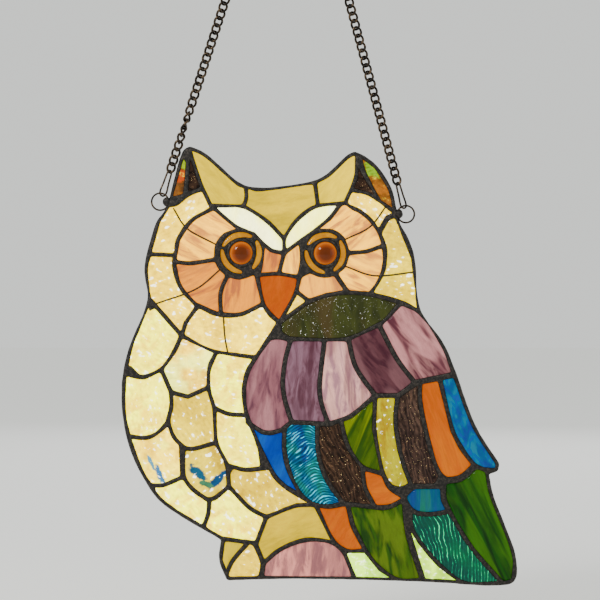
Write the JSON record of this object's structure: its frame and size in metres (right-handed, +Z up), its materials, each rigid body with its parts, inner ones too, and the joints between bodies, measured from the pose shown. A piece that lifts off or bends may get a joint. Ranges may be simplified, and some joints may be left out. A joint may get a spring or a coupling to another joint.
{
  "type": "stained glass panel",
  "caption": "Flat hanging stained glass panel in the shape of an owl with domed glass eyes, hung on a ring by two strands of curb chain",
  "frame": {"origin": "the top of the hanging ring's hole, where the ring rests on its hook, in the panel's middle plane", "axes": "+Z is up, along the panel's height and the chains. +X runs across the panel, to the right as seen from the front. The front looks along -Y"},
  "size_m": [0.2751, 0.0095, 0.563],
  "materials": {
    "solder": "solder with a brown-black patina, half bright",
    "bronze": "antique bronze, worn lighter on the high spots",
    "glass_blue": "rippled glass",
    "glass_cream": "streaky opal glass",
    "glass_gold": "streaky cathedral and opal glass",
    "glass_green": "streaky cathedral glass",
    "glass_mauve": "streaky opal glass",
    "glass_moss": "clear rippled glass",
    "glass_mustard": "streaky opal glass",
    "glass_olive": "seedy cathedral glass",
    "glass_orange": "rippled cathedral glass",
    "glass_pale": "opal glass",
    "glass_peach": "streaky opal glass",
    "glass_teal": "rippled glass",
    "glass_umber": "deeply grooved glass",
    "glass_white": "opal glass",
    "glass_amber": "clear amber glass"
  },
  "bodies": {
    "root": {"leading": "solder", "ear_left_front": "glass_mustard", "ear_left_outer": "glass_moss", "ear_left_inner": "glass_umber", "crown": "glass_gold", "ear_right_front": "glass_mustard", "ear_right_inner": "glass_umber", "ear_right_outer": "glass_moss", "side_left": "glass_cream", "side_right": "glass_cream", "chin": "glass_cream", "disc_left": "glass_peach", "disc_right": "glass_peach", "bridge": "glass_peach", "brow_left": "glass_white", "brow_right": "glass_white", "beak": "glass_orange", "cheek": "glass_cream", "wing_cap": "glass_olive", "purple_1": "glass_mauve", "purple_2": "glass_mauve", "purple_3": "glass_mauve", "purple_4": "glass_mauve", "purple_5": "glass_mauve", "blue_1": "glass_blue", "teal_1": "glass_teal", "brown_1": "glass_umber", "green_1": "glass_green", "yellow_1": "glass_gold", "brown_2": "glass_umber", "orange_1": "glass_orange", "blue_2": "glass_blue", "orange_2": "glass_orange", "teal_small": "glass_teal", "orange_3": "glass_orange", "green_2": "glass_green", "teal_2": "glass_teal", "green_3": "glass_green", "pale_1": "glass_pale", "pale_2": "glass_pale", "breast_a": "glass_cream", "breast_b": "glass_cream", "breast_c": "glass_cream", "breast_g": "glass_cream", "breast_h": "glass_gold", "breast_i": "glass_gold", "breast_j": "glass_cream", "foot_yellow": "glass_mustard", "foot_orange": "glass_gold", "arch_yellow": "glass_mustard", "base_purple": "glass_mauve", "eye_left": "glass_orange", "iris_left": "glass_amber", "ring_left": "bronze", "chain_left": "bronze", "eye_right": "glass_orange", "iris_right": "glass_amber", "ring_right": "bronze", "chain_right": "bronze", "hanging_ring": "bronze"}
  },
  "joints": []
}
